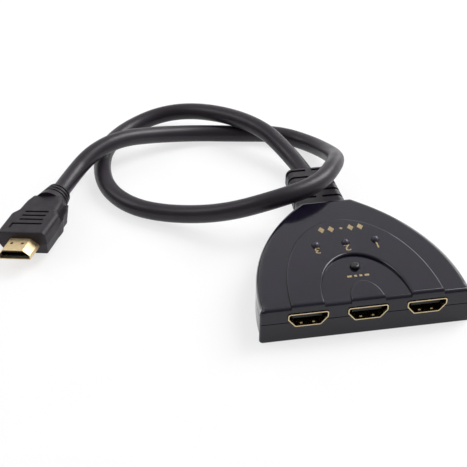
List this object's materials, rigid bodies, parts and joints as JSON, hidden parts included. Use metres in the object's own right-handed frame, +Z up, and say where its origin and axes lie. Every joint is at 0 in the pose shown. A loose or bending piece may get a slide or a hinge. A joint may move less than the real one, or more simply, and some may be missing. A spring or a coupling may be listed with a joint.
{
  "type": "hdmi splitter",
  "caption": "Flat fan-shaped video switch box with receptacles along its wide front, a select button and lamps on top, and a captive round cable that ends in a plug.",
  "frame": {"origin": "on the floor under the middle of the box and its strain relief, seen from above", "axes": "+X to the right when the receptacles face the viewer, +Y from the receptacles towards the cable, +Z up"},
  "size_m": [0.1718, 0.1636, 0.0251],
  "materials": {
    "case_gloss": "gloss",
    "case_lower": "satin gloss",
    "cable_rubber": "matte",
    "plug_rubber": "matte",
    "gold_metal": "bright",
    "tongue_plastic": "matte",
    "board_green": "satin",
    "lamp_clear": "clear",
    "button_black": "gloss",
    "switch_black": "matte",
    "steel": "satin",
    "chip_black": "matte",
    "ceramic_tan": "matte",
    "resistor_dark": "matte",
    "wire_red": "satin"
  },
  "bodies": {
    "housing": {"top_cover": "case_gloss", "bottom_cover": "case_lower", "circuit_board": "board_green", "port_shell_1": "gold_metal", "port_tongue_1": "tongue_plastic", "port_contacts_1": "gold_metal", "led_1": "lamp_clear", "port_shell_2": "gold_metal", "port_tongue_2": "tongue_plastic", "port_contacts_2": "gold_metal", "led_2": "lamp_clear", "port_shell_3": "gold_metal", "port_tongue_3": "tongue_plastic", "port_contacts_3": "gold_metal", "led_3": "lamp_clear", "switch_base": "switch_black", "switch_plate": "steel", "switch_dome": "steel", "switching_chip": "chip_black", "voltage_regulator": "chip_black", "crystal_can": "steel", "capacitors": "ceramic_tan", "resistors": "resistor_dark", "conductor_wires": "wire_red", "strain_relief_boot": "cable_rubber", "case_screws": "steel", "cable": "cable_rubber", "plug_boot": "cable_rubber", "plug_overmold": "plug_rubber", "plug_shell": "gold_metal", "plug_insulator": "tongue_plastic", "plug_contacts": "gold_metal"},
    "button": {"select_button": "button_black", "switch_plunger": "switch_black"}
  },
  "joints": [
    {"name": "select_press", "type": "slide", "parent": "housing", "child": "button", "axis": [0, 0, -1], "range_m": [0, 0.0003], "stiffness_N_per_m": 4000}
  ]
}
